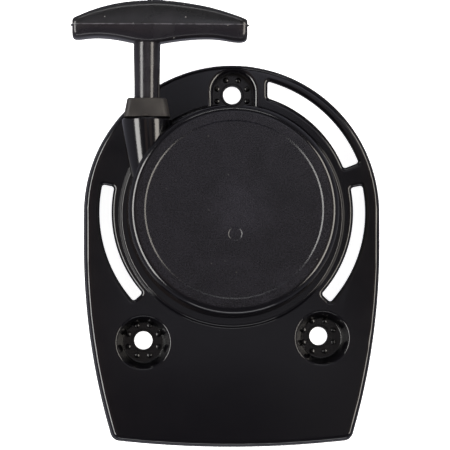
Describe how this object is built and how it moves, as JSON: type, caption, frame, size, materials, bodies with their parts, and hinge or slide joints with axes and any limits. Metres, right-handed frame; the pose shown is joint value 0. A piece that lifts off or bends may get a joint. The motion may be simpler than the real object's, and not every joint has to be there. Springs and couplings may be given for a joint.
{
  "type": "recoil starter",
  "caption": "Pull-rope recoil starter for a small engine: moulded vented cover with rope drum, T-grip, spring reel and ratchet pawls.",
  "frame": {"origin": "on the reel's axis, at the plane of the mounting rim", "axes": "+Z out of the cover's face along the reel's axis; +Y the way the rope pulls, towards the grip; +X to the right seen from the face"},
  "size_m": [0.1416, 0.2047, 0.036],
  "materials": {
    "cover_plastic": "polished moulded black, with a fine matte grain on the drum's top",
    "grip_plastic": "satin moulded black",
    "bushing_plastic": "satin moulded warm grey-black",
    "reel_nylon": "natural nylon, satin",
    "plated_steel": "zinc plated",
    "spring_steel": "blued and oiled",
    "insert_brass": "turned",
    "rope_nylon": "braided nylon"
  },
  "bodies": {
    "housing": {"housing_cover": "cover_plastic", "rope_guide_bushing": "bushing_plastic", "post_insert": "insert_brass", "centre_screw": "plated_steel", "centre_washer": "plated_steel", "recoil_spring": "spring_steel"},
    "reel": {"rope_reel": "reel_nylon", "spring_cover": "plated_steel", "cover_screw_1": "plated_steel", "cover_screw_2": "plated_steel", "cover_screw_3": "plated_steel", "rope_winding": "rope_nylon", "reel_knot": "rope_nylon", "pawl_pin_1": "plated_steel", "pawl_pin_2": "plated_steel", "pawl_spring_1": "spring_steel", "pawl_spring_2": "spring_steel", "friction_spring": "spring_steel"},
    "guide": {"ratchet_guide": "reel_nylon"},
    "first_pawl": {"pawl_1": "plated_steel"},
    "second_pawl": {"pawl_2": "plated_steel"},
    "rope": {"rope_lead": "rope_nylon", "grip_knot": "rope_nylon"},
    "grip": {"grip_handle": "grip_plastic", "grip_retainer": "plated_steel", "grip_cap": "grip_plastic"}
  },
  "joints": [
    {"name": "reel_spin", "type": "hinge", "parent": "housing", "child": "reel", "pos_m": [0, 0, 0.024], "axis": [0, 0, 1], "range_deg": [-1620, 0], "stiffness_Nm_per_rad": 0.012, "springref_deg": 286.48, "deforming": ["recoil_spring"]},
    {"name": "rope_pull", "type": "slide", "parent": "housing", "child": "rope", "axis": [0, 1, 0], "range_m": [0, 1.004]},
    {"name": "grip_twist", "type": "hinge", "parent": "rope", "child": "grip", "pos_m": [-0.0394, 0.085, 0.024], "axis": [0, 1, 0], "range_deg": [-180, 180]},
    {"name": "guide_turn", "type": "hinge", "parent": "reel", "child": "guide", "pos_m": [0, 0, 0.01], "axis": [0, 0, 1], "range_deg": [0, 20]},
    {"name": "first_pawl_swing", "type": "hinge", "parent": "reel", "child": "first_pawl", "pos_m": [0.011, 0.01905, 0.0149], "axis": [0, 0, 1], "range_deg": [0, 28], "stiffness_Nm_per_rad": 0.002, "springref_deg": -11.46},
    {"name": "second_pawl_swing", "type": "hinge", "parent": "reel", "child": "second_pawl", "pos_m": [-0.011, -0.01905, 0.0149], "axis": [0, 0, 1], "range_deg": [0, 28], "stiffness_Nm_per_rad": 0.002, "springref_deg": -11.46}
  ],
  "couplings": [
    {"joint": "rope_pull", "follows": "reel_spin", "m_per_rad": -0.0355},
    {"joint": "first_pawl_swing", "follows": "guide_turn", "ratio": 1.4},
    {"joint": "second_pawl_swing", "follows": "guide_turn", "ratio": 1.4}
  ]
}
